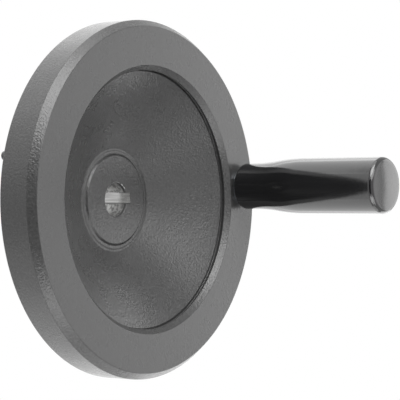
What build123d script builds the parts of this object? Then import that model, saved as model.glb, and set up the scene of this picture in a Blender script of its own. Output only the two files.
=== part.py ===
from build123d import *
import math
import os

# Machine handwheel, 125 mm, with a keyed bore and a revolving taper grip.
# Millimetres. +Z is up. The keyway and the handle lie towards +X. The front
# of the wheel, which carries the handle, faces -Y. The origin is the centre
# of the bore, halfway along the hub. The shaft comes in from the rear.

# ---- Rim -------------------------------------------------------------------
rim_diameter = 125.0
rim_width = 14.5            # front face to rear face
outer_bevel_width = 2.2     # bevel round the front, measured along the radius
outer_bevel_depth = 2.8     # and along the axis
face_inner_diameter = 93.6  # where the flat front face ends and the dish starts
inner_bevel = 1.8           # 45 degree bevel into the dish
dish_wall_height = 1.6      # short wall under that bevel
dish_wall_draft = 0.3
rear_pocket_diameter = 96.0  # hollow behind the web, inside the rim
rear_pocket_draft = 1.2
pocket_foot_bevel = 2.0     # slope in the corner between the hollow's wall and web
rim_rear_bevel = 0.6

# ---- Web -------------------------------------------------------------------
web_thickness = 5.0

# ---- Hub -------------------------------------------------------------------
hub_set_back = 16.3         # hub face behind the rim's front face
hub_length = 16.0
hub_face_diameter = 31.2
hub_edge_bevel = 0.4        # 45 degree edge round the machined hub face
hub_ledge_width = 1.5       # cast ledge round that edge
hub_shoulder_width = 0.8    # slope from the ledge down to the web
hub_shoulder_fall = 0.6
hub_rear_diameter = 33.0
hub_rear_draft = 0.5
hub_rear_bevel = 0.8
hub_rear_foot_bevel = 2.0   # slope in the corner between the hub and the web

bore_diameter = 12.0
bore_chamfer = 0.3
keyway_width = 4.0
keyway_depth = 1.8          # beyond the bore's wall

# ---- Cast pip on the rear of the rim ---------------------------------------
pip_diameter = 3.0
pip_height = 1.4
pip_root = 0.5              # how far it reaches into the rim
pip_inset = 0.3             # from the outer edge of the rim's flat rear
pip_angle = 161.7           # degrees from the keyway, towards +Z

# ---- Handle ----------------------------------------------------------------
thread_diameter = 8.0       # M8 stud in a tapped hole right through the rim
stud_end_set_back = 1.5     # stud's end inside the rim's rear face
stud_chamfer = 0.8
tapped_hole_chamfer = 0.5
collar_diameter = 12.0
collar_height = 2.0
collar_chamfer = 0.4
wrench_flats = 10.0         # across the two flats of the collar
shank_diameter = 8.0        # the journal that the grip turns on
shank_length = 50.0
shank_tip_chamfer = 0.8
shank_tip_length = 2.0      # shank beyond the ring's groove

wire_width = 1.2            # square wire of the sprung ring that holds the grip
ring_groove_depth = 0.8     # of the groove in the shank
ring_gap_angle = 50.0       # degrees

grip_length = 60.4
grip_base_diameter = 16.8
grip_diameter = 20.0
grip_base_land = 4.0        # straight length next to the wheel
grip_flare_length = 22.0    # from the base land up to the full diameter
grip_base_bevel = 0.6
grip_end_radius = 2.2
grip_mouth_chamfer = 0.5
grip_bore_end_room = 1.0    # free space beyond the shank's tip

# ---- Clearances ------------------------------------------------------------
thread_clearance = 0.02     # radial, stud in its tapped hole
running_clearance = 0.05    # radial, grip on the shank
thrust_clearance = 0.2      # axial, grip above the collar
ring_clearance = 0.3        # ring to the walls of its undercut in the grip
groove_clearance = 0.05     # ring to the walls of its groove in the shank

# ---- Worked out from the values above --------------------------------------
rim_radius = rim_diameter / 2
face_outer_radius = rim_radius - outer_bevel_width
face_inner_radius = face_inner_diameter / 2
bore_radius = bore_diameter / 2
hub_face_radius = hub_face_diameter / 2
hub_ledge_inner_radius = hub_face_radius + hub_edge_bevel
hub_ledge_outer_radius = hub_ledge_inner_radius + hub_ledge_width
hub_foot_radial = hub_ledge_outer_radius + hub_shoulder_width

hub_face_y = -hub_length / 2
hub_rear_y = hub_length / 2
hub_ledge_y = hub_face_y + hub_edge_bevel
hub_foot_y = hub_ledge_y + hub_shoulder_fall
rim_front_y = hub_face_y - hub_set_back
rim_rear_y = rim_front_y + rim_width

handle_circle_radius = (face_outer_radius + face_inner_radius) / 2
stud_radius = thread_diameter / 2
stud_length = rim_width - stud_end_set_back
collar_radius = collar_diameter / 2
shank_radius = shank_diameter / 2
groove_radius = shank_radius - ring_groove_depth
ring_radius = groove_radius + groove_clearance + wire_width / 2
ring_groove_width = wire_width + 2 * groove_clearance
ring_height = collar_height + shank_length - shank_tip_length - ring_groove_width / 2
grip_bottom = collar_height + thrust_clearance
grip_top = grip_bottom + grip_length
grip_bore_radius = shank_radius + running_clearance


def corner_of(section, point):
    """The corner of a section that lies at a point."""
    return min(section.vertices(), key=lambda v: (Vector(v) - Vector(*point)).length)


def turned(points, bevels=()):
    """A solid turned about the Y axis from its half section.

    points runs round the section as (radius, y). bevels gives the corners to
    be bevelled, each with its size.
    """
    with BuildPart() as solid:
        with BuildSketch(Plane.XY) as section:
            with BuildLine():
                Polyline(*points, close=True)
            make_face()
            for point, size in bevels:
                chamfer(corner_of(section, point), size)
        revolve(axis=Axis.Y)
    return solid.part


def on_circle(radius, angle, y):
    """A point at an angle from +X towards +Z, seen from the front."""
    turn = math.radians(angle)
    return (radius * math.cos(turn), y, radius * math.sin(turn))


def stand_on_rim(piece):
    """Moves a piece turned about Y, with height 0 at the origin and its top
    towards -Y, to the handle's place on the rim."""
    return piece.moved(Location((handle_circle_radius, rim_front_y, 0.0)))


def make_wheel():
    """Rim, dished web and hub, cast in one piece and bored and broached."""
    bevel_back = (rim_radius, rim_front_y + outer_bevel_depth)
    bevel_front = (face_outer_radius, rim_front_y)
    face_inner = (face_inner_radius, rim_front_y)
    wall_top = (face_inner_radius - inner_bevel, rim_front_y + inner_bevel)
    wall_foot = (wall_top[0] - dish_wall_draft, wall_top[1] + dish_wall_height)
    hub_foot = (hub_foot_radial, hub_foot_y)
    ledge_outer = (hub_ledge_outer_radius, hub_ledge_y)
    ledge_inner = (hub_ledge_inner_radius, hub_ledge_y)
    face_corner = (hub_face_radius, hub_face_y)
    bore_front_out = (bore_radius + bore_chamfer, hub_face_y)
    bore_front_in = (bore_radius, hub_face_y + bore_chamfer)
    bore_rear_in = (bore_radius, hub_rear_y - bore_chamfer)
    bore_rear_out = (bore_radius + bore_chamfer, hub_rear_y)
    hub_rear = (hub_rear_diameter / 2, hub_rear_y)

    # The web's rear surface lies one thickness behind its front surface.
    web_run = wall_foot[0] - hub_foot[0]
    web_fall = hub_foot[1] - wall_foot[1]
    web_slope = web_fall / web_run
    web_behind = web_thickness * math.hypot(1.0, web_slope)
    hub_rear_foot_radial = hub_rear_diameter / 2 + hub_rear_draft
    pocket_foot_radial = rear_pocket_diameter / 2 - rear_pocket_draft
    web_rear_inner = (
        hub_rear_foot_radial,
        hub_foot[1] + web_behind + (hub_foot[0] - hub_rear_foot_radial) * web_slope,
    )
    web_rear_outer = (
        pocket_foot_radial,
        wall_foot[1] + web_behind - (pocket_foot_radial - wall_foot[0]) * web_slope,
    )
    pocket_mouth = (rear_pocket_diameter / 2, rim_rear_y)
    rim_rear = (rim_radius, rim_rear_y)

    points = [
        bevel_back, bevel_front, face_inner, wall_top, wall_foot, hub_foot,
        ledge_outer, ledge_inner, face_corner, bore_front_out, bore_front_in,
        bore_rear_in, bore_rear_out, hub_rear, web_rear_inner,
        web_rear_outer, pocket_mouth, rim_rear,
    ]
    bevels = [
        (hub_rear, hub_rear_bevel),
        (web_rear_inner, hub_rear_foot_bevel),
        (web_rear_outer, pocket_foot_bevel),
        (rim_rear, rim_rear_bevel),
    ]
    wheel = turned(points, bevels)
    wheel -= keyway_cutter()
    wheel -= tapped_hole_cutter()
    wheel += cast_pip()
    return wheel


def keyway_cutter():
    """The broach's path: a slot from the bore's axis out to the key's bed."""
    reach = bore_radius + keyway_depth
    return Pos(reach / 2, 0, 0) * Box(reach, 2 * hub_length, keyway_width)


def tapped_hole_cutter():
    """The tapped hole right through the rim, countersunk at both ends."""
    radius = stud_radius + thread_clearance
    mouth = radius + tapped_hole_chamfer
    points = [
        (0.0, 0.0), (mouth, 0.0), (radius, tapped_hole_chamfer),
        (radius, rim_width - tapped_hole_chamfer), (mouth, rim_width), (0.0, rim_width),
    ]
    return stand_on_rim(turned(points))


def cast_pip():
    """The small pip that the casting keeps on the rear edge of its rim."""
    radius = pip_diameter / 2
    pip = turned([(0.0, -pip_root), (radius, -pip_root), (radius, pip_height), (0.0, pip_height)])
    at_radius = rim_radius - rim_rear_bevel - pip_inset - radius
    return pip.moved(Location(on_circle(at_radius, pip_angle, rim_rear_y)))


def make_spindle():
    """Steel spindle: stud, collar with two wrench flats, and the shank."""
    tip = -(collar_height + shank_length)
    groove_front = -ring_height - ring_groove_width / 2
    groove_back = -ring_height + ring_groove_width / 2
    points = [
        (0.0, tip),
        (shank_radius - shank_tip_chamfer, tip),
        (shank_radius, tip + shank_tip_chamfer),
        (shank_radius, groove_front),
        (groove_radius, groove_front),
        (groove_radius, groove_back),
        (shank_radius, groove_back),
        (shank_radius, -collar_height),
        (collar_radius - collar_chamfer, -collar_height),
        (collar_radius, -collar_height + collar_chamfer),
        (collar_radius, 0.0),
        (stud_radius, 0.0),
        (stud_radius, stud_length - stud_chamfer),
        (stud_radius - stud_chamfer, stud_length),
        (0.0, stud_length),
    ]
    spindle = turned(points)
    for side in (-1, 1):
        waste = Box(collar_radius, 2 * collar_height, collar_diameter)
        spindle -= Pos(side * (wrench_flats + collar_radius) / 2, 0, 0) * waste
    return stand_on_rim(spindle)


def make_retaining_ring():
    """Open ring of square spring wire, in the groove near the shank's tip."""
    with BuildPart() as ring:
        with BuildSketch(Plane.XY):
            with Locations((ring_radius, -ring_height)):
                Rectangle(wire_width, wire_width)
        revolve(axis=Axis.Y, revolution_arc=360.0 - ring_gap_angle)
    return stand_on_rim(ring.part)


def make_grip():
    """Moulded taper grip, blind bored, with an undercut for the ring."""
    base_radius = grip_base_diameter / 2
    full_radius = grip_diameter / 2
    flare_start = (base_radius, -grip_bottom - grip_base_land)
    flare_end = (full_radius, flare_start[1] - grip_flare_length)
    flare_middle = ((base_radius + full_radius) / 2, (flare_start[1] + flare_end[1]) / 2)
    end_corner = (full_radius, -grip_top)
    bore_bottom = -(collar_height + shank_length + grip_bore_end_room)
    undercut_radius = ring_radius + wire_width / 2 + ring_clearance
    undercut_half = wire_width / 2 + ring_clearance
    with BuildPart() as grip:
        with BuildSketch(Plane.XY) as section:
            with BuildLine():
                Line((0.0, -grip_bottom), (base_radius, -grip_bottom))
                Line((base_radius, -grip_bottom), flare_start)
                TangentArc(flare_start, flare_middle, tangent=(0, -1))
                TangentArc(flare_end, flare_middle, tangent=(0, 1))
                Line(flare_end, end_corner)
                Line(end_corner, (0.0, -grip_top))
                Line((0.0, -grip_top), (0.0, -grip_bottom))
            make_face()
            chamfer(corner_of(section, (base_radius, -grip_bottom)), grip_base_bevel)
            fillet(corner_of(section, end_corner), grip_end_radius)
        revolve(axis=Axis.Y)
    bore = [
        (0.0, -grip_bottom),
        (grip_bore_radius + grip_mouth_chamfer, -grip_bottom),
        (grip_bore_radius, -grip_bottom - grip_mouth_chamfer),
        (grip_bore_radius, -ring_height + undercut_half),
        (undercut_radius, -ring_height + undercut_half),
        (undercut_radius, -ring_height - undercut_half),
        (grip_bore_radius, -ring_height - undercut_half),
        (grip_bore_radius, bore_bottom),
        (0.0, bore_bottom),
    ]
    return stand_on_rim(grip.part - turned(bore))


nodes = {
    "wheel": make_wheel(),
    "handle_spindle": make_spindle(),
    "retaining_ring": make_retaining_ring(),
    "grip": make_grip(),
}

os.makedirs("parts", exist_ok=True)
for name, shape in nodes.items():
    export_step(shape, f"parts/{name}.step")
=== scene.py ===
import math

import bmesh
import bpy
from bpy.props import FloatProperty, FloatVectorProperty, PointerProperty
from mathutils import Matrix, Vector


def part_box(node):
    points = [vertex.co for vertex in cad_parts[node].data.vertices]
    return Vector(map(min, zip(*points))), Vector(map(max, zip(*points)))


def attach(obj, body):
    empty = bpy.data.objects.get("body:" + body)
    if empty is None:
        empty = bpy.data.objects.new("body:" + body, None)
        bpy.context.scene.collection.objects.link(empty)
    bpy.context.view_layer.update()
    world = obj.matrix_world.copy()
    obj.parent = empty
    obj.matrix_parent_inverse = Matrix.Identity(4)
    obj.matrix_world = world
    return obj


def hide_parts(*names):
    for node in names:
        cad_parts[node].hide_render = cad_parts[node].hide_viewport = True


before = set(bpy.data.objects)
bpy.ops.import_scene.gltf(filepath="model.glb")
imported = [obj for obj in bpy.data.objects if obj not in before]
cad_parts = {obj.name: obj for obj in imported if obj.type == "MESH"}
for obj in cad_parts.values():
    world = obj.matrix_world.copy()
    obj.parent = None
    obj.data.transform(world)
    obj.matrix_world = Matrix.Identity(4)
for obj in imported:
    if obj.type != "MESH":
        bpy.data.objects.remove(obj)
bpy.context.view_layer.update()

bl_info = {
    "name": "Machine Handwheel",
    "version": (1, 0, 0),
    "blender": (4, 5, 0),
    "location": "3D View > Sidebar > Handwheel",
    "description": "Dished disc handwheel with a keyed bore and a revolving taper grip",
    "category": "Object",
}

# The frame is in metres: the bore runs along Y, the wheel's front faces -Y and
# the handle stands on the rim towards +X. Sizes below are written in
# millimetres and multiplied by MM.
MM = 0.001
WHEEL_LOW, WHEEL_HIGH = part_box("wheel")
SPINDLE_LOW, SPINDLE_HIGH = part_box("handle_spindle")
GRIP_LOW, GRIP_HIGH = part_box("grip")

RIM_RADIUS = WHEEL_HIGH.x
RIM_FRONT = WHEEL_LOW.y
HUB_REAR = WHEEL_HIGH.y
HANDLE_RADIUS = (GRIP_LOW.x + GRIP_HIGH.x) / 2
GRIP_BOTTOM = GRIP_HIGH.y
GRIP_TOP = GRIP_LOW.y
SPINDLE_TIP = SPINDLE_LOW.y
STUD_END = SPINDLE_HIGH.y

WHEEL_AXIS = Vector((0.0, 0.0, 0.0))
HANDLE_AXIS = Vector((HANDLE_RADIUS, 0.0, 0.0))

# Faces round each turned piece, and how far a segment of a rounding may turn.
WHEEL_STEPS = 192
HANDLE_STEPS = 128
THREAD_STEPS = 48
SEGMENT_TURN = math.radians(11)
SMOOTH_ANGLE = math.radians(32)

# Points closer than MERGE become one, a point within NEAR of a place is that
# place, and SKIN keeps a test for faces clear of their neighbours.
MERGE = 1e-6
NEAR = 1e-7
SKIN = 0.01 * MM


# ---- Settings --------------------------------------------------------------

def linear(hex_colour):
    """An sRGB hex colour as linear red, green, blue and alpha."""
    channels = [int(hex_colour[i:i + 2], 16) / 255 for i in (1, 3, 5)]
    light = [c / 12.92 if c <= 0.04045 else ((c + 0.055) / 1.055) ** 2.4 for c in channels]
    return (*light, 1.0)


def length(name, description, millimetres):
    """A setting that holds a length, given in millimetres."""
    return FloatProperty(name=name, description=description, default=millimetres * MM,
                         min=0.0, precision=5, subtype="DISTANCE", unit="LENGTH")


def colour(name, description, hex_colour):
    """A setting that holds a colour, given as sRGB hex."""
    return FloatVectorProperty(name=name, description=description, default=linear(hex_colour),
                               size=4, min=0.0, max=1.0, subtype="COLOR")


class CastingSettings(bpy.types.PropertyGroup):
    rim_width: length("Rim width", "Front face to rear face of the rim", 14.5)
    outer_bevel_width: length("Outer bevel width", "Bevel round the front, along the radius", 2.2)
    outer_bevel_depth: length("Outer bevel depth", "Bevel round the front, along the axis", 2.8)
    face_inner_radius: length("Face inner radius", "Where the flat front face ends", 46.8)
    inner_bevel: length("Inner bevel", "45 degree bevel into the dish", 1.8)
    dish_wall_height: length("Dish wall height", "Short wall under the inner bevel", 1.6)
    dish_wall_undercut: length("Dish wall undercut", "How far the wall leans back", 0.9)
    dish_groove_depth: length("Dish groove depth", "Groove between wall and web", 0.2)
    dish_wall_draft: length("Dish wall draft", "The web's edge inside the wall's top", 0.3)
    web_thickness: length("Web thickness", "Thickness of the dished web", 5.0)
    web_bow: length("Web bow", "How far the web bows to the rear midway", 0.5)
    pocket_radius: length("Pocket radius", "Hollow behind the web, inside the rim", 48.0)
    pocket_draft: length("Pocket draft", "How far the hollow's wall leans in", 1.2)
    hub_length: length("Hub length", "Front face to rear face of the hub", 16.0)
    hub_face_radius: length("Hub face radius", "Machined front face of the hub", 15.5)
    hub_edge_width: length("Hub edge width", "Bevel round the machined face, along the radius", 0.6)
    hub_edge_depth: length("Hub edge depth", "Bevel round the machined face, along the axis", 0.75)
    hub_groove_width: length("Hub groove width", "Groove at the foot of that bevel", 0.15)
    hub_ledge_drop: length("Hub ledge drop", "Cast ledge below the machined face", 0.4)
    hub_ledge_width: length("Hub ledge width", "Ledge and groove, along the radius", 1.1)
    hub_shoulder_width: length("Hub shoulder width", "Slope from the ledge to the web", 0.7)
    hub_shoulder_fall: length("Hub shoulder fall", "Depth of that slope", 0.45)
    hub_rear_radius: length("Hub rear radius", "Radius of the hub's rear face", 16.5)
    hub_rear_draft: length("Hub rear draft", "How far the hub widens to the web", 0.5)
    bore_radius: length("Bore radius", "Radius of the shaft bore", 6.0)
    bore_chamfer: length("Bore chamfer", "Chamfer at both ends of the bore", 0.3)
    keyway_width: length("Keyway width", "Width of the keyway", 4.0)
    keyway_reach: length("Keyway reach", "Keyway's bed from the bore's axis", 7.8)
    pip_radius: length("Pip radius", "Cast pip on the rear of the rim", 1.6)
    pip_height: length("Pip height", "How far the pip stands out", 1.8)
    pip_circle: length("Pip circle", "The pip's distance from the axis", 60.1)
    pip_angle: FloatProperty(name="Pip angle", description="From the keyway, towards +Z",
                             default=math.radians(160.8), subtype="ANGLE", unit="ROTATION")
    coat: colour("Coat", "Colour of the powder coat", "#3A3A3A")
    bare: colour("Bare metal", "Colour of the machined aluminium", "#BEBEBD")


class SpindleSettings(bpy.types.PropertyGroup):
    thread_radius: length("Thread radius", "Outside of the M8 thread", 4.0)
    thread_pitch: length("Thread pitch", "Pitch of the M8 thread", 1.25)
    thread_depth: length("Thread depth", "Crest to root", 0.68)
    thread_play: length("Thread play", "Radial play of the stud in its hole", 0.02)
    collar_radius: length("Collar radius", "Collar that sits on the rim", 6.0)
    collar_height: length("Collar height", "Rim's face to the grip's end", 2.0)
    wrench_flats: length("Wrench flats", "Across the two flats", 10.0)
    shank_radius: length("Shank radius", "Journal that the grip turns on", 4.0)
    groove_radius: length("Groove radius", "Foot of the ring's groove", 3.2)
    groove_width: length("Groove width", "Width of the ring's groove", 1.3)
    tip_length: length("Tip length", "Shank beyond the groove", 2.0)
    # Darker than bright zinc: partly a painted shade for the collar under the grip.
    plating_and_shade: colour("Plating", "Colour of the zinc plating", "#8F9296")
    wire: colour("Wire", "Colour of the ring's spring steel", "#8A8B8D")


class GripSettings(bpy.types.PropertyGroup):
    base_radius: length("Base radius", "Grip next to the wheel", 8.4)
    full_radius: length("Full radius", "Grip past the flare", 10.0)
    base_land: length("Base land", "Straight length next to the wheel", 4.0)
    flare_length: length("Flare length", "From the base land to the full radius", 22.0)
    end_rounding: length("End rounding", "Rounding between the side and the end", 1.7)
    end_dome: length("End dome", "Rise of the domed end", 0.4)
    bore_radius: length("Bore radius", "Blind bore for the shank", 4.05)
    bore_end: length("Bore end", "Solid end beyond the bore", 9.6)
    undercut_radius: length("Undercut radius", "Undercut for the ring", 4.75)
    undercut_width: length("Undercut width", "Width of that undercut", 1.8)
    moulding: colour("Moulding", "Colour of the moulding compound", "#151516")


class StageSettings(bpy.types.PropertyGroup):
    floor_drop: length("Floor drop", "Floor below the wheel's axis", 200.0)
    floor_radius: length("Floor radius", "Radius of the floor", 600.0)
    floor_fade: length("Floor fade", "Where the floor starts to run out into white", 250.0)
    floor: colour("Floor", "Colour of the floor", "#E9E9E8")
    card: colour("Card", "Colour of the dark card by the camera", "#0A0A0A")
    fill: FloatProperty(name="Fill", description="Strength of the light from all round",
                        default=0.2, min=0.0)
    lens: FloatProperty(name="Lens", description="Focal length of the camera",
                        default=169.6, subtype="DISTANCE_CAMERA")


# ---- Modelling helpers -----------------------------------------------------

def select_where(kind, test):
    """In edit mode, selects only the verts, edges or faces whose middle passes a test."""
    bpy.ops.mesh.select_mode(type=kind)
    bpy.ops.mesh.select_all(action="DESELECT")
    mesh = bmesh.from_edit_mesh(bpy.context.object.data)
    items = {"VERT": mesh.verts, "EDGE": mesh.edges, "FACE": mesh.faces}[kind]
    for item in items:
        if kind == "VERT":
            item.select = test(item.co)
        elif kind == "EDGE":
            item.select = test((item.verts[0].co + item.verts[1].co) / 2)
        else:
            item.select = test(item.calc_center_median())
    mesh.select_flush_mode()
    bmesh.update_edit_mesh(bpy.context.object.data)


def arc(start, end, tangent, steps):
    """Points on the arc that leaves start along tangent and reaches end, without the start."""
    start, end, along = Vector(start), Vector(end), Vector(tangent).normalized()
    chord = end - start
    turn = 2 * along.angle_signed(chord)
    radius = chord.length / (2 * math.sin(abs(turn) / 2))
    side = Vector((along.y, -along.x)) if turn > 0 else Vector((-along.y, along.x))
    centre = start + side * radius
    spoke = start - centre
    points = []
    for step in range(1, steps + 1):
        points.append(tuple(centre + Matrix.Rotation(-turn * step / steps, 2) @ spoke))
    return points


def draw_section(name, corners, closed, axis=WHEEL_AXIS):
    """Draws a half section as a chain of edges and rounds its corners.

    corners holds (radius, y) or (radius, y, rounding) for each corner, in
    metres. The section lies in the XY plane, on the +X side of the axis.
    """
    bpy.ops.object.select_all(action="DESELECT")
    places = [axis + Vector((corner[0], corner[1], 0.0)) for corner in corners]
    bpy.ops.mesh.primitive_plane_add(size=MM, location=places[0])
    bpy.context.object.name = name
    bpy.ops.object.transform_apply(location=True, rotation=True, scale=True)
    bpy.ops.object.mode_set(mode="EDIT")
    bpy.ops.mesh.select_mode(type="VERT")
    bpy.ops.mesh.merge(type="CENTER")
    for here, there in zip(places, places[1:]):
        bpy.ops.mesh.extrude_region_move(TRANSFORM_OT_translate={"value": there - here})
    if closed:
        ends = (places[0], places[-1])
        select_where("VERT", lambda co: min((co - end).length for end in ends) < NEAR)
        bpy.ops.mesh.edge_face_add()
    count = len(places)
    for index, corner in enumerate(corners):
        if len(corner) < 3 or not corner[2]:
            continue
        here = places[index]
        before = here - places[index - 1]
        after = places[(index + 1) % count] - here
        turn = before.angle(after)
        select_where("VERT", lambda co: (co - here).length < NEAR)
        bpy.ops.mesh.bevel(offset=corner[2] * math.tan(turn / 2), affect="VERTICES",
                           segments=max(2, math.ceil(turn / SEGMENT_TURN)), profile=0.5,
                           clamp_overlap=False)
    bpy.ops.mesh.select_all(action="SELECT")


def turn_piece(name, corners, closed, axis=WHEEL_AXIS, steps=HANDLE_STEPS):
    """Turns a half section about an axis parallel to Y into a closed piece."""
    draw_section(name, corners, closed, axis)
    bpy.ops.mesh.spin(steps=steps, angle=2 * math.pi, center=axis, axis=(0.0, 1.0, 0.0))
    bpy.ops.mesh.select_all(action="SELECT")
    bpy.ops.mesh.remove_doubles(threshold=MERGE)
    bpy.ops.mesh.normals_make_consistent(inside=False)
    bpy.ops.object.mode_set(mode="OBJECT")
    return bpy.context.object


def block(name, low, high):
    """A plain block between two corners, for cutting with."""
    bpy.ops.object.select_all(action="DESELECT")
    low, high = Vector(low), Vector(high)
    bpy.ops.mesh.primitive_cube_add(size=1.0, location=(low + high) / 2)
    bpy.context.object.name = name
    bpy.context.object.scale = high - low
    bpy.ops.object.transform_apply(location=True, rotation=True, scale=True)
    return bpy.context.object


def combine(piece, tool, operation):
    """Cuts piece with tool, or joins or intersects the two, and removes tool."""
    bpy.ops.object.select_all(action="DESELECT")
    piece.select_set(True)
    bpy.context.view_layer.objects.active = piece
    bpy.ops.object.modifier_add(type="BOOLEAN")
    modifier = piece.modifiers[-1]
    modifier.operation = operation
    modifier.object = tool
    modifier.solver = "EXACT"
    bpy.ops.object.modifier_apply(modifier=modifier.name)
    bpy.data.objects.remove(tool, do_unlink=True)


def smooth(piece):
    """Shades a piece smooth except at sharp edges, with its flat faces kept flat."""
    bpy.ops.object.select_all(action="DESELECT")
    piece.select_set(True)
    bpy.context.view_layer.objects.active = piece
    bpy.ops.object.shade_smooth_by_angle(angle=SMOOTH_ANGLE)
    bpy.ops.object.modifier_add(type="WEIGHTED_NORMAL")
    modifier = piece.modifiers[-1]
    modifier.keep_sharp = True
    bpy.ops.object.modifier_apply(modifier=modifier.name)


def dress(piece, *materials):
    """Gives a piece these materials in place of its own."""
    piece.data.materials.clear()
    for material in materials:
        piece.data.materials.append(material)


def finish_piece(piece, body, node):
    """Hands a finished piece to the frame in place of a CAD node."""
    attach(piece, body)
    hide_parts(node)


def threaded_rod(name, settings, play, low, high):
    """An M8 thread along Y between two heights, on the handle's axis."""
    pitch = settings.thread_pitch
    crest = settings.thread_radius + play
    root = crest - settings.thread_depth
    turns = math.ceil((high - low) / pitch) + 2
    start = STUD_END - turns * pitch
    flank = settings.thread_depth * math.tan(math.radians(30))
    crest_flat = pitch / 8
    corners = [
        (root, start),
        (crest, start + flank),
        (crest, start + flank + crest_flat),
        (root, start + 2 * flank + crest_flat),
        (root, start + pitch),
    ]
    draw_section(name, corners, closed=False)
    bpy.ops.object.mode_set(mode="OBJECT")
    rod = bpy.context.object
    bpy.ops.object.modifier_add(type="SCREW")
    modifier = rod.modifiers[-1]
    modifier.axis = "Y"
    modifier.screw_offset = pitch
    modifier.iterations = turns + 2
    modifier.steps = THREAD_STEPS
    modifier.render_steps = THREAD_STEPS
    modifier.use_merge_vertices = True
    modifier.merge_threshold = MERGE
    bpy.ops.object.modifier_apply(modifier=modifier.name)
    bpy.ops.object.mode_set(mode="EDIT")
    for height, outward in ((low, -1.0), (high, 1.0)):
        bpy.ops.mesh.select_all(action="SELECT")
        bpy.ops.mesh.bisect(plane_co=(0.0, height, 0.0), plane_no=(0.0, outward, 0.0),
                            use_fill=True, clear_outer=True)
    bpy.ops.mesh.select_all(action="SELECT")
    bpy.ops.mesh.remove_doubles(threshold=MERGE)
    bpy.ops.mesh.normals_make_consistent(inside=False)
    bpy.ops.transform.translate(value=HANDLE_AXIS)
    bpy.ops.object.mode_set(mode="OBJECT")
    return rod


# ---- Materials -------------------------------------------------------------

def add_node(tree, kind, inputs=None, **settings):
    """Adds a node. inputs maps a socket to a value or to the output that feeds it."""
    node = tree.nodes.new(kind)
    for name, value in settings.items():
        setattr(node, name, value)
    for socket, value in (inputs or {}).items():
        if isinstance(value, bpy.types.NodeSocket):
            tree.links.new(value, node.inputs[socket])
        else:
            node.inputs[socket].default_value = value
    return node


def start_material(name):
    """A material with its node tree emptied."""
    material = bpy.data.materials.new(name)
    material.use_nodes = True
    material.node_tree.nodes.clear()
    return material, material.node_tree


def powder_coat(coat):
    # Polyester powder coat, sprayed and baked on cast aluminium. The powder flows
    # into a fine even grain, so the nearly black coat has a satin gloss that
    # breaks into small specks where it catches a light. The real grain is about a
    # third as wide and much shallower: it is drawn coarse and deep so that it shows.
    # The rim's flat face was turned before coating, so the coat lies nearly smooth
    # on it, and the grain starts past its edges.
    grain = 0.7 * MM
    relief = 0.15 * MM
    mottle = 6.0 * MM
    edge = 0.3 * MM
    material, tree = start_material("powder_coated_cast_aluminium")
    place = add_node(tree, "ShaderNodeTexCoord").outputs["Object"]
    fine = add_node(tree, "ShaderNodeTexNoise", {
        "Vector": place, "Scale": 1 / grain, "Detail": 2.0})
    broad = add_node(tree, "ShaderNodeTexNoise", {
        "Vector": place, "Scale": 1 / mottle, "Detail": 2.0})
    gloss = add_node(tree, "ShaderNodeMapRange", {
        "Value": broad.outputs["Fac"], "From Min": 0.3, "From Max": 0.7,
        "To Min": 0.26, "To Max": 0.30})
    cast = add_node(tree, "ShaderNodeMapRange", {
        "Value": add_node(tree, "ShaderNodeSeparateXYZ", {"Vector": place}).outputs["Y"],
        "From Min": RIM_FRONT, "From Max": RIM_FRONT + edge, "To Min": 0.3, "To Max": 1.0})
    tint = add_node(tree, "ShaderNodeHueSaturation", {
        "Color": coat, "Fac": cast.outputs["Result"],
        "Value": add_node(tree, "ShaderNodeMapRange", {
            "Value": fine.outputs["Fac"], "From Min": 0.3, "From Max": 0.7,
            "To Min": 0.75, "To Max": 1.25}).outputs["Result"]})
    bump = add_node(tree, "ShaderNodeBump", {
        "Height": fine.outputs["Fac"], "Strength": cast.outputs["Result"], "Distance": relief})
    shader = add_node(tree, "ShaderNodeBsdfPrincipled", {
        "Base Color": tint.outputs["Color"], "Roughness": gloss.outputs["Result"],
        "IOR": 1.5, "Normal": bump.outputs["Normal"]})
    add_node(tree, "ShaderNodeOutputMaterial", {"Surface": shader.outputs["BSDF"]})
    return material


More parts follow.
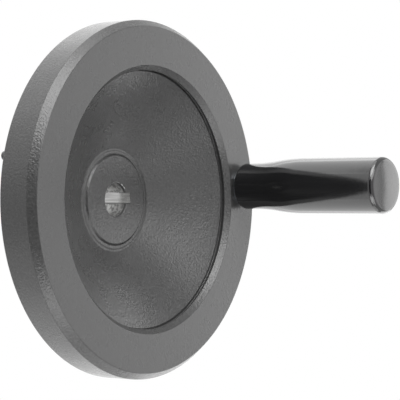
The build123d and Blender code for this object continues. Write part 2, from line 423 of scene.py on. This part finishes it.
def bored_aluminium(bare, coat, hub_face):
    # Cast aluminium, bored to size. Boring leaves fine rings round the axis, which
    # dull the metal. The coat has crept in: it covers a band inside the mouth,
    # with a ragged edge, and lies in thin patches further in. On the top side
    # the lip is drawn partly bare, a painted highlight: its bright arc stands in
    # for the glint that the light puts only there.
    ring = 0.15 * MM
    ring_relief = 0.01 * MM
    ragged = 1.1 * MM
    lip = 0.2 * MM
    band = 1.0 * MM
    glint_start = 2.0 * MM
    glint_end = 4.0 * MM
    material, tree = start_material("bored_aluminium")
    place = add_node(tree, "ShaderNodeTexCoord").outputs["Object"]
    parts = add_node(tree, "ShaderNodeSeparateXYZ", {"Vector": place})
    across = add_node(tree, "ShaderNodeMapping", {"Vector": place, "Scale": (0.05, 1.0, 0.05)})
    rings = add_node(tree, "ShaderNodeTexNoise", {
        "Vector": across.outputs["Vector"], "Scale": 1 / ring, "Detail": 3.0})
    patches = add_node(tree, "ShaderNodeTexNoise", {
        "Vector": place, "Scale": 1 / ragged, "Detail": 4.0})
    depth = add_node(tree, "ShaderNodeMath", {0: parts.outputs["Y"], 1: hub_face},
                     operation="SUBTRACT")
    # Painted highlight: the lip is bare only towards the top, where the light glints on it.
    top_glint = add_node(tree, "ShaderNodeMapRange", {
        "Value": parts.outputs["Z"], "From Min": glint_start, "From Max": glint_end,
        "To Min": 0.0, "To Max": 0.5})
    lip_glint = add_node(tree, "ShaderNodeMapRange", {
        "Value": depth.outputs[0], "From Min": lip * 0.5, "From Max": lip * 1.0,
        "To Min": top_glint.outputs["Result"], "To Max": 0.0})
    inside = add_node(tree, "ShaderNodeMapRange", {
        "Value": depth.outputs[0], "From Min": band * 0.8, "From Max": band * 1.3,
        "To Min": 0.0, "To Max": 0.5})
    limit = add_node(tree, "ShaderNodeMath", {
        0: lip_glint.outputs["Result"], 1: inside.outputs["Result"]}, operation="MAXIMUM")
    edge = add_node(tree, "ShaderNodeMath", {0: patches.outputs["Fac"], 1: limit.outputs[0]},
                    operation="SUBTRACT")
    thickness = add_node(tree, "ShaderNodeMapRange", {
        "Value": depth.outputs[0], "From Min": band * 0.8, "From Max": band * 1.3,
        "To Min": 1.0, "To Max": 0.65})
    coated = add_node(tree, "ShaderNodeMapRange", {
        "Value": edge.outputs[0], "From Min": -0.04, "From Max": 0.04,
        "To Max": thickness.outputs["Result"]})
    bump = add_node(tree, "ShaderNodeBump", {
        "Height": rings.outputs["Fac"], "Strength": 1.0, "Distance": ring_relief})
    metal = add_node(tree, "ShaderNodeBsdfPrincipled", {
        "Base Color": bare, "Metallic": 1.0, "Roughness": 0.5, "Normal": bump.outputs["Normal"]})
    paint = add_node(tree, "ShaderNodeBsdfPrincipled", {
        "Base Color": coat, "Roughness": 0.6, "IOR": 1.5})
    shader = add_node(tree, "ShaderNodeMixShader", {
        0: coated.outputs["Result"], 1: metal.outputs["BSDF"], 2: paint.outputs["BSDF"]})
    add_node(tree, "ShaderNodeOutputMaterial", {"Surface": shader.outputs["Shader"]})
    return material


def broached_aluminium(bare):
    # The keyway is broached last, so it is bare and bright. The broach leaves
    # straight marks along its path, some of them smeared darker.
    mark = 0.35 * MM
    mark_relief = 0.01 * MM
    material, tree = start_material("broached_aluminium")
    place = add_node(tree, "ShaderNodeTexCoord").outputs["Object"]
    along = add_node(tree, "ShaderNodeMapping", {"Vector": place, "Scale": (1.0, 0.03, 1.0)})
    marks = add_node(tree, "ShaderNodeTexNoise", {
        "Vector": along.outputs["Vector"], "Scale": 1 / mark, "Detail": 3.0})
    tint = add_node(tree, "ShaderNodeHueSaturation", {
        "Color": bare,
        "Value": add_node(tree, "ShaderNodeMapRange", {
            "Value": marks.outputs["Fac"], "From Min": 0.3, "From Max": 0.7,
            "To Min": 0.5, "To Max": 1.05}).outputs["Result"]})
    bump = add_node(tree, "ShaderNodeBump", {
        "Height": marks.outputs["Fac"], "Strength": 1.0, "Distance": mark_relief})
    shader = add_node(tree, "ShaderNodeBsdfPrincipled", {
        "Base Color": tint.outputs["Color"], "Metallic": 1.0, "Roughness": 0.14,
        "Normal": bump.outputs["Normal"]})
    add_node(tree, "ShaderNodeOutputMaterial", {"Surface": shader.outputs["BSDF"]})
    return material


def zinc_plate(plating_and_shade):
    # Free-cutting steel, turned and zinc plated. Turning leaves fine rings round
    # the axis, which the zinc softens to a dull satin. Its grey is darker than
    # bright zinc, partly a painted shade for the collar in the shadow under the grip.
    ring = 0.18 * MM
    ring_relief = 0.004 * MM
    material, tree = start_material("zinc_plated_steel")
    place = add_node(tree, "ShaderNodeTexCoord").outputs["Object"]
    across = add_node(tree, "ShaderNodeMapping", {"Vector": place, "Scale": (0.02, 1.0, 0.02)})
    rings = add_node(tree, "ShaderNodeTexNoise", {
        "Vector": across.outputs["Vector"], "Scale": 1 / ring, "Detail": 2.0})
    rough = add_node(tree, "ShaderNodeMapRange", {
        "Value": rings.outputs["Fac"], "From Min": 0.3, "From Max": 0.7,
        "To Min": 0.34, "To Max": 0.46})
    bump = add_node(tree, "ShaderNodeBump", {
        "Height": rings.outputs["Fac"], "Strength": 1.0, "Distance": ring_relief})
    shader = add_node(tree, "ShaderNodeBsdfPrincipled", {
        "Base Color": plating_and_shade, "Metallic": 1.0, "Roughness": rough.outputs["Result"],
        "Normal": bump.outputs["Normal"]})
    add_node(tree, "ShaderNodeOutputMaterial", {"Surface": shader.outputs["BSDF"]})
    return material


def drawn_spring_wire(wire):
    # Hard-drawn square spring wire. Drawing leaves a smooth dark steel with faint
    # streaks along the wire.
    streak = 0.15 * MM
    material, tree = start_material("drawn_spring_steel")
    place = add_node(tree, "ShaderNodeTexCoord").outputs["Object"]
    along = add_node(tree, "ShaderNodeMapping", {"Vector": place, "Scale": (0.1, 1.0, 0.1)})
    streaks = add_node(tree, "ShaderNodeTexNoise", {
        "Vector": along.outputs["Vector"], "Scale": 1 / streak, "Detail": 2.0})
    rough = add_node(tree, "ShaderNodeMapRange", {
        "Value": streaks.outputs["Fac"], "From Min": 0.3, "From Max": 0.7,
        "To Min": 0.25, "To Max": 0.4})
    shader = add_node(tree, "ShaderNodeBsdfPrincipled", {
        "Base Color": wire, "Metallic": 1.0, "Roughness": rough.outputs["Result"]})
    add_node(tree, "ShaderNodeOutputMaterial", {"Surface": shader.outputs["BSDF"]})
    return material


def thermoset_moulding(moulding):
    # Phenolic moulding compound, pressed in a polished mould. It comes out black
    # and glossy, with a surface that waves very slightly where the resin shrank.
    wave = 3.0 * MM
    wave_relief = 0.01 * MM
    speck = 0.4 * MM
    material, tree = start_material("black_phenolic_moulding")
    place = add_node(tree, "ShaderNodeTexCoord").outputs["Object"]
    waves = add_node(tree, "ShaderNodeTexNoise", {
        "Vector": place, "Scale": 1 / wave, "Detail": 1.0})
    specks = add_node(tree, "ShaderNodeTexNoise", {
        "Vector": place, "Scale": 1 / speck, "Detail": 2.0})
    rough = add_node(tree, "ShaderNodeMapRange", {
        "Value": specks.outputs["Fac"], "From Min": 0.3, "From Max": 0.7,
        "To Min": 0.10, "To Max": 0.16})
    bump = add_node(tree, "ShaderNodeBump", {
        "Height": waves.outputs["Fac"], "Strength": 1.0, "Distance": wave_relief})
    shader = add_node(tree, "ShaderNodeBsdfPrincipled", {
        "Base Color": moulding, "Roughness": rough.outputs["Result"], "IOR": 1.64,
        "Normal": bump.outputs["Normal"]})
    add_node(tree, "ShaderNodeOutputMaterial", {"Surface": shader.outputs["BSDF"]})
    return material


def studio_floor(floor, fade, radius):
    # Matt paper sweep. It takes the object's soft shadow near the middle and runs
    # out into the white of the background towards its edge.
    fibre = 2.0 * MM
    material, tree = start_material("paper_sweep")
    place = add_node(tree, "ShaderNodeTexCoord").outputs["Object"]
    flat = add_node(tree, "ShaderNodeMapping", {"Vector": place, "Scale": (1.0, 1.0, 0.0)})
    distance = add_node(tree, "ShaderNodeVectorMath", {0: flat.outputs["Vector"]},
                        operation="LENGTH")
    fading = add_node(tree, "ShaderNodeMapRange", {
        "Value": distance.outputs["Value"], "From Min": fade, "From Max": radius * 0.98},
        interpolation_type="SMOOTHSTEP")
    fibres = add_node(tree, "ShaderNodeTexNoise", {
        "Vector": place, "Scale": 1 / fibre, "Detail": 3.0})
    tint = add_node(tree, "ShaderNodeHueSaturation", {
        "Color": floor,
        "Value": add_node(tree, "ShaderNodeMapRange", {
            "Value": fibres.outputs["Fac"], "To Min": 0.99, "To Max": 1.01}).outputs["Result"]})
    paper = add_node(tree, "ShaderNodeBsdfPrincipled", {
        "Base Color": tint.outputs["Color"], "Roughness": 0.9})
    white = add_node(tree, "ShaderNodeEmission", {"Color": (1.0, 1.0, 1.0, 1.0), "Strength": 1.0})
    shader = add_node(tree, "ShaderNodeMixShader", {
        0: fading.outputs["Result"], 1: paper.outputs["BSDF"], 2: white.outputs["Emission"]})
    add_node(tree, "ShaderNodeOutputMaterial", {"Surface": shader.outputs["Shader"]})
    return material


def black_card(card):
    # Black velvet on a card. It takes nearly all light, and its nap scatters the
    # rest without a gloss.
    nap = 1.0 * MM
    material, tree = start_material("black_velvet_card")
    place = add_node(tree, "ShaderNodeTexCoord").outputs["Object"]
    fibres = add_node(tree, "ShaderNodeTexNoise", {
        "Vector": place, "Scale": 1 / nap, "Detail": 2.0})
    tint = add_node(tree, "ShaderNodeHueSaturation", {
        "Color": card,
        "Value": add_node(tree, "ShaderNodeMapRange", {
            "Value": fibres.outputs["Fac"], "To Min": 0.8, "To Max": 1.2}).outputs["Result"]})
    shader = add_node(tree, "ShaderNodeBsdfDiffuse", {
        "Color": tint.outputs["Color"], "Roughness": 1.0})
    add_node(tree, "ShaderNodeOutputMaterial", {"Surface": shader.outputs["BSDF"]})
    return material


# ---- Pieces ----------------------------------------------------------------

def casting_section(s):
    """The casting's half section, from the outer bevel over the front and back round the rear."""
    rim_rear = RIM_FRONT + s.rim_width
    hub_front = HUB_REAR - s.hub_length
    ledge_y = hub_front + s.hub_ledge_drop
    ledge_inner = s.hub_face_radius + s.hub_edge_width
    ledge_outer = ledge_inner + s.hub_ledge_width
    wall_top = (s.face_inner_radius - s.inner_bevel, RIM_FRONT + s.inner_bevel)
    web_edge = (wall_top[0] - s.dish_wall_draft, wall_top[1] + s.dish_wall_height)
    wall_foot = (wall_top[0] + s.dish_wall_undercut, web_edge[1] + s.dish_groove_depth)
    hub_foot = (ledge_outer + s.hub_shoulder_width, ledge_y + s.hub_shoulder_fall)
    slope = (hub_foot[1] - web_edge[1]) / (web_edge[0] - hub_foot[0])
    behind = s.web_thickness * math.hypot(1.0, slope)

    def web_y(radius, bow):
        return hub_foot[1] - (radius - hub_foot[0]) * slope + bow

    middle = (web_edge[0] + hub_foot[0]) / 2
    rear_foot = s.hub_rear_radius + s.hub_rear_draft
    pocket_foot = s.pocket_radius - s.pocket_draft

    # Roundings: the web's bow is a very wide one, the step round the hub is worn
    # soft by the coat, and the machined bore has little more than broken edges.
    bow = 250 * MM
    rim_edge = 0.4 * MM
    dish_edge = 0.25 * MM
    step_edge = 1.2 * MM
    bore_edge = 0.05 * MM
    return [
        (RIM_RADIUS, RIM_FRONT + s.outer_bevel_depth, rim_edge),
        (RIM_RADIUS - s.outer_bevel_width, RIM_FRONT, rim_edge),
        (s.face_inner_radius, RIM_FRONT, dish_edge),
        (*wall_top, dish_edge),
        (*wall_foot, 0.2 * MM),
        (*web_edge, 0.1 * MM),
        (middle, web_y(middle, s.web_bow), bow),
        (*hub_foot, step_edge),
        (ledge_outer, ledge_y, step_edge),
        (ledge_inner + s.hub_groove_width, ledge_y, 0.12 * MM),
        (ledge_inner, hub_front + s.hub_edge_depth, 0.08 * MM),
        (s.hub_face_radius, hub_front, 0.2 * MM),
        (s.bore_radius + s.bore_chamfer, hub_front, bore_edge),
        (s.bore_radius, hub_front + s.bore_chamfer, bore_edge),
        (s.bore_radius, HUB_REAR - s.bore_chamfer, bore_edge),
        (s.bore_radius + s.bore_chamfer, HUB_REAR, bore_edge),
        (s.hub_rear_radius, HUB_REAR, 0.9 * MM),
        (rear_foot, web_y(rear_foot, behind), 3.0 * MM),
        (middle, web_y(middle, behind + s.web_bow), bow),
        (pocket_foot, web_y(pocket_foot, behind), 2.5 * MM),
        (s.pocket_radius, rim_rear, 1.0 * MM),
        (RIM_RADIUS, rim_rear, 0.8 * MM),
    ]


def bore_at(settings):
    """A test for points on the wall of the bore and its chamfers."""
    front = HUB_REAR - settings.hub_length + SKIN
    reach = settings.bore_radius + settings.bore_chamfer - SKIN
    return lambda co: front < co.y < HUB_REAR - SKIN and math.hypot(co.x, co.z) < reach


def keyway_at(settings):
    """A test for points on the bed and the sides of the keyway."""
    front = HUB_REAR - settings.hub_length + SKIN
    near = settings.bore_radius + settings.bore_chamfer
    half = settings.keyway_width / 2 + SKIN
    return lambda co: (front < co.y < HUB_REAR - SKIN and abs(co.z) < half
                       and near < co.x < settings.keyway_reach + SKIN)


class HANDWHEEL_OT_add_casting(bpy.types.Operator):
    """Adds the rim, dished web and hub, cast in one piece"""
    bl_idname = "handwheel.add_casting"
    bl_label = "Wheel Casting"
    bl_options = {"REGISTER", "UNDO"}

    def execute(self, context):
        s = context.scene.handwheel_casting
        spindle = context.scene.handwheel_spindle
        casting = turn_piece("wheel_casting", casting_section(s), closed=True, steps=WHEEL_STEPS)
        half_key = s.keyway_width / 2
        keyway = block("keyway_broach", (0.0, -HUB_REAR * 2, -half_key),
                       (s.keyway_reach, HUB_REAR * 2, half_key))
        combine(casting, keyway, "DIFFERENCE")
        rim_rear = RIM_FRONT + s.rim_width
        tap = threaded_rod("tap", spindle, spindle.thread_play, RIM_FRONT - MM, rim_rear + MM)
        combine(casting, tap, "DIFFERENCE")
        sink = 0.5 * MM
        mouth = spindle.thread_radius + sink
        countersink = turn_piece("countersink", [
            (0.0, rim_rear - mouth), (mouth, rim_rear),
            (mouth, rim_rear + MM), (0.0, rim_rear + MM),
        ], closed=False, axis=HANDLE_AXIS)
        combine(casting, countersink, "DIFFERENCE")
        pip_axis = Vector((s.pip_circle * math.cos(s.pip_angle), 0.0,
                           s.pip_circle * math.sin(s.pip_angle)))
        pip_root = rim_rear - 0.5 * MM
        pip = turn_piece("pip", [
            (0.0, pip_root), (s.pip_radius, pip_root),
            (s.pip_radius, rim_rear + s.pip_height, 0.6 * MM), (0.0, rim_rear + s.pip_height),
        ], closed=False, axis=pip_axis, steps=THREAD_STEPS)
        combine(casting, pip, "UNION")
        dress(casting, powder_coat(s.coat),
              bored_aluminium(s.bare, s.coat, HUB_REAR - s.hub_length),
              broached_aluminium(s.bare))
        bpy.ops.object.mode_set(mode="EDIT")
        for index, test in ((1, bore_at(s)), (2, keyway_at(s))):
            select_where("FACE", test)
            casting.active_material_index = index
            bpy.ops.object.material_slot_assign()
        bpy.ops.object.mode_set(mode="OBJECT")
        smooth(casting)
        finish_piece(casting, "wheel", "wheel")
        return {"FINISHED"}


class HANDWHEEL_OT_add_spindle(bpy.types.Operator):
    """Adds the steel spindle: threaded stud, collar with two flats, and shank"""
    bl_idname = "handwheel.add_spindle"
    bl_label = "Handle Spindle"
    bl_options = {"REGISTER", "UNDO"}

    def execute(self, context):
        s = context.scene.handwheel_spindle
        collar_top = RIM_FRONT - s.collar_height
        groove_front = SPINDLE_TIP + s.tip_length
        groove_back = groove_front + s.groove_width
        groove_edge = 0.1 * MM
        spindle = turn_piece("spindle", [
            (0.0, SPINDLE_TIP),
            (s.shank_radius, SPINDLE_TIP, 1.4 * MM),
            (s.shank_radius, groove_front, groove_edge),
            (s.groove_radius, groove_front, groove_edge),
            (s.groove_radius, groove_back, groove_edge),
            (s.shank_radius, groove_back, groove_edge),
            (s.shank_radius, collar_top, 0.3 * MM),
            (s.collar_radius, collar_top, 0.5 * MM),
            (s.collar_radius, RIM_FRONT, 0.15 * MM),
            (0.0, RIM_FRONT),
        ], closed=False, axis=HANDLE_AXIS)
        for side in (-1, 1):
            near = HANDLE_RADIUS + side * s.wrench_flats / 2
            far = HANDLE_RADIUS + side * s.collar_radius * 2
            waste = block("flat", (min(near, far), collar_top - MM, -s.collar_radius * 2),
                          (max(near, far), RIM_FRONT + MM, s.collar_radius * 2))
            combine(spindle, waste, "DIFFERENCE")
        stud = threaded_rod("stud", s, 0.0, RIM_FRONT - MM, STUD_END + MM)
        chamfer = 0.8 * MM
        stock = turn_piece("stock", [
            (0.0, RIM_FRONT - MM / 2),
            (s.thread_radius, RIM_FRONT - MM / 2),
            (s.thread_radius, STUD_END - chamfer),
            (s.thread_radius - chamfer, STUD_END),
            (0.0, STUD_END),
        ], closed=False, axis=HANDLE_AXIS)
        combine(stud, stock, "INTERSECT")
        combine(spindle, stud, "UNION")
        dress(spindle, zinc_plate(s.plating_and_shade))
        smooth(spindle)
        finish_piece(spindle, "wheel", "handle_spindle")
        return {"FINISHED"}


class HANDWHEEL_OT_finish_ring(bpy.types.Operator):
    """Gives the retaining ring in the grip its spring steel"""
    bl_idname = "handwheel.finish_ring"
    bl_label = "Retaining Ring"
    bl_options = {"REGISTER", "UNDO"}

    def execute(self, context):
        wire = context.scene.handwheel_spindle.wire
        dress(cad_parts["retaining_ring"], drawn_spring_wire(wire))
        return {"FINISHED"}


class HANDWHEEL_OT_add_grip(bpy.types.Operator):
    """Adds the revolving taper grip"""
    bl_idname = "handwheel.add_grip"
    bl_label = "Taper Grip"
    bl_options = {"REGISTER", "UNDO"}

    def execute(self, context):
        s = context.scene.handwheel_grip
        spindle = context.scene.handwheel_spindle
        flare_start = (s.base_radius, GRIP_BOTTOM - s.base_land)
        flare_end = (s.full_radius, flare_start[1] - s.flare_length)
        flare_middle = ((s.base_radius + s.full_radius) / 2, (flare_start[1] + flare_end[1]) / 2)
        end_corner = (s.full_radius, GRIP_TOP + s.end_dome)
        ring_y = SPINDLE_TIP + spindle.tip_length + spindle.groove_width / 2
        undercut = s.undercut_width / 2
        bore_end = GRIP_TOP + s.bore_end
        mouth_chamfer = 0.5 * MM
        mouth_edge = 0.1 * MM
        rise = arc((0.0, GRIP_TOP), end_corner, (1.0, 0.0), 4)
        first_half = arc(flare_start, flare_middle, (0.0, -1.0), 14)
        second_half = arc(flare_end, flare_middle, (0.0, 1.0), 14)
        corners = [
            (0.0, GRIP_TOP), *rise[:-1],
            (*end_corner, s.end_rounding),
            flare_end, *second_half,
            *reversed(first_half[:-1]), flare_start,
            (s.base_radius, GRIP_BOTTOM, 0.9 * MM),
            (s.bore_radius + mouth_chamfer, GRIP_BOTTOM, mouth_edge),
            (s.bore_radius, GRIP_BOTTOM - mouth_chamfer, mouth_edge),
            (s.bore_radius, ring_y + undercut),
            (s.undercut_radius, ring_y + undercut),
            (s.undercut_radius, ring_y - undercut),
            (s.bore_radius, ring_y - undercut),
            (s.bore_radius, bore_end, 0.5 * MM),
            (0.0, bore_end),
        ]
        grip = turn_piece("grip_moulding", corners, closed=False, axis=HANDLE_AXIS)
        dress(grip, thermoset_moulding(s.moulding))
        smooth(grip)
        finish_piece(grip, "grip", "grip")
        return {"FINISHED"}


# ---- Stage -----------------------------------------------------------------

# Each softbox: name, direction from the wheel, distance, width, height and
# power. They stand all round, like the walls of a light tent, with the
# strongest overhead and to the left and a darker gap where the camera looks in.
SOFTBOXES = [
    ("overhead_left", (-0.28, -0.48, 0.83), 0.90, 0.70, 0.60, 9.5),
    ("overhead", (0.10, -0.05, 1.00), 0.90, 0.60, 0.60, 2.2),
    ("top_back", (0.15, 0.58, 0.80), 0.90, 1.30, 0.40, 2.2),
    ("left_back_top", (-0.67, 0.47, 0.58), 0.45, 0.30, 0.30, 0.2),
    ("left_back_low", (-0.67, 0.47, -0.58), 0.45, 0.30, 0.30, 0.2),
    ("upper_front_left", (-0.44, -0.73, 0.50), 0.90, 0.45, 0.35, 1.3),
    ("upper_front", (-0.05, -0.90, 0.43), 0.90, 0.60, 0.35, 2.1),
    ("right_front", (0.91, -0.41, 0.00), 0.90, 0.36, 0.70, 1.6),
    ("right_low", (0.80, -0.05, -0.60), 0.90, 0.60, 0.50, 2.1),
    ("right_back_top", (0.68, 0.58, 0.45), 0.90, 0.50, 0.55, 0.8),
    ("right_back_low", (0.68, 0.58, -0.45), 0.90, 0.50, 0.55, 0.6),
    ("below", (0.15, -0.05, -0.99), 0.90, 0.60, 0.50, 1.2),
    ("below_left", (-0.50, -0.35, -0.79), 0.90, 0.60, 0.50, 3.1),
    ("below_back", (0.15, 0.54, -0.83), 0.90, 1.30, 0.40, 1.8),
    ("below_front", (-0.20, -0.75, -0.63), 0.90, 0.60, 0.40, 2.1),
    ("near_right", (0.62, -0.78, 0.00), 0.90, 0.40, 0.70, 0.7),
]

# The dark card in that gap: direction, distance, width and height.
CARD = ((-0.83, -0.56, 0.0), 0.75, 0.55, 0.75)

# Where the camera stands and looks, in metres, before it is turned about the
# wheel's axis, which leaves the handle that much off level.
CAMERA_TILT = math.radians(5.4)
CAMERA_PLACE = Vector((-0.51555, -0.42836, -0.00134))
CAMERA_VIEW = Vector((0.8023, 0.5969, 0.0019))


class HANDWHEEL_OT_add_stage(bpy.types.Operator):
    """Adds the floor, the soft studio light and the camera"""
    bl_idname = "handwheel.add_stage"
    bl_label = "Stage"
    bl_options = {"REGISTER", "UNDO"}

    def execute(self, context):
        s = context.scene.handwheel_stage
        bpy.ops.object.select_all(action="DESELECT")
        bpy.ops.mesh.primitive_circle_add(vertices=96, radius=s.floor_radius, fill_type="NGON",
                                          location=(0.0, 0.0, -s.floor_drop))
        floor = context.object
        floor.name = "floor"
        bpy.ops.object.transform_apply(location=True, rotation=True, scale=True)
        floor.data.materials.append(studio_floor(s.floor, s.floor_fade, s.floor_radius))

        # The softboxes below shine through the floor, as light that it throws back.
        floor.visible_shadow = False
        floor.visible_diffuse = False
        floor.visible_glossy = False

        towards, distance, width, height = CARD
        towards = Vector(towards).normalized()
        bpy.ops.mesh.primitive_plane_add(size=1.0)
        card = context.object
        card.name = "dark_card"
        card.scale = (width, height, 1.0)
        card.rotation_euler = towards.to_track_quat("Z", "Y").to_euler()
        card.location = towards * distance
        bpy.ops.object.transform_apply(location=True, rotation=True, scale=True)
        card.data.materials.append(black_card(s.card))
        card.visible_camera = False
        card.visible_shadow = False

        for name, direction, distance, width, height, power in SOFTBOXES:
            towards = Vector(direction).normalized()
            bpy.ops.object.light_add(type="AREA", location=towards * distance)
            lamp = context.object
            lamp.name = name
            lamp.rotation_euler = towards.to_track_quat("Z", "Y").to_euler()
            lamp.data.shape = "RECTANGLE"
            lamp.data.size = width
            lamp.data.size_y = height
            lamp.data.energy = power
            lamp.visible_camera = False

        world = bpy.data.worlds.new("studio")
        world.use_nodes = True
        tree = world.node_tree
        tree.nodes.clear()
        path = add_node(tree, "ShaderNodeLightPath")
        seen = add_node(tree, "ShaderNodeMath", {
            0: path.outputs["Is Camera Ray"], 1: path.outputs["Is Glossy Ray"]},
            operation="MAXIMUM")
        seen = add_node(tree, "ShaderNodeMath", {
            0: seen.outputs[0], 1: path.outputs["Is Transmission Ray"]},
            operation="MAXIMUM")
        strength = add_node(tree, "ShaderNodeMapRange", {
            "Value": seen.outputs[0], "To Min": s.fill, "To Max": 1.0})
        background = add_node(tree, "ShaderNodeBackground", {
            "Color": (1.0, 1.0, 1.0, 1.0), "Strength": strength.outputs["Result"]})
        add_node(tree, "ShaderNodeOutputWorld", {"Surface": background.outputs["Background"]})
        context.scene.world = world
        context.scene.view_settings.view_transform = "Standard"

        bpy.ops.object.camera_add()
        camera = context.object
        camera.name = "camera"
        camera.data.lens = s.lens
        camera.data.clip_start = 0.01
        across = CAMERA_VIEW.cross(Vector((0.0, 0.0, 1.0))).normalized()
        view = CAMERA_VIEW.normalized()
        turned = Matrix((across, across.cross(view), -view)).transposed().to_4x4()
        turned.translation = CAMERA_PLACE
        camera.matrix_world = Matrix.Rotation(CAMERA_TILT, 4, "Y") @ turned
        context.scene.camera = camera
        return {"FINISHED"}


# ---- Add-on ----------------------------------------------------------------

class HANDWHEEL_PT_sidebar(bpy.types.Panel):
    """Lists the handwheel's pieces"""
    bl_idname = "HANDWHEEL_PT_sidebar"
    bl_label = "Machine Handwheel"
    bl_space_type = "VIEW_3D"
    bl_region_type = "UI"
    bl_category = "Handwheel"

    def draw(self, context):
        for operator in OPERATORS:
            self.layout.operator(operator.bl_idname)


OPERATORS = (
    HANDWHEEL_OT_add_casting,
    HANDWHEEL_OT_add_spindle,
    HANDWHEEL_OT_finish_ring,
    HANDWHEEL_OT_add_grip,
    HANDWHEEL_OT_add_stage,
)
SETTINGS = {
    "handwheel_casting": CastingSettings,
    "handwheel_spindle": SpindleSettings,
    "handwheel_grip": GripSettings,
    "handwheel_stage": StageSettings,
}


def register():
    for name, group in SETTINGS.items():
        bpy.utils.register_class(group)
        setattr(bpy.types.Scene, name, PointerProperty(type=group))
    for operator in OPERATORS:
        bpy.utils.register_class(operator)
    bpy.utils.register_class(HANDWHEEL_PT_sidebar)


def unregister():
    bpy.utils.unregister_class(HANDWHEEL_PT_sidebar)
    for operator in reversed(OPERATORS):
        bpy.utils.unregister_class(operator)
    for name, group in reversed(SETTINGS.items()):
        delattr(bpy.types.Scene, name)
        bpy.utils.unregister_class(group)


def main():
    register()
    bpy.ops.handwheel.add_casting()
    bpy.ops.handwheel.add_spindle()
    bpy.ops.handwheel.finish_ring()
    bpy.ops.handwheel.add_grip()
    bpy.ops.handwheel.add_stage()


if __name__ == "__main__":
    main()
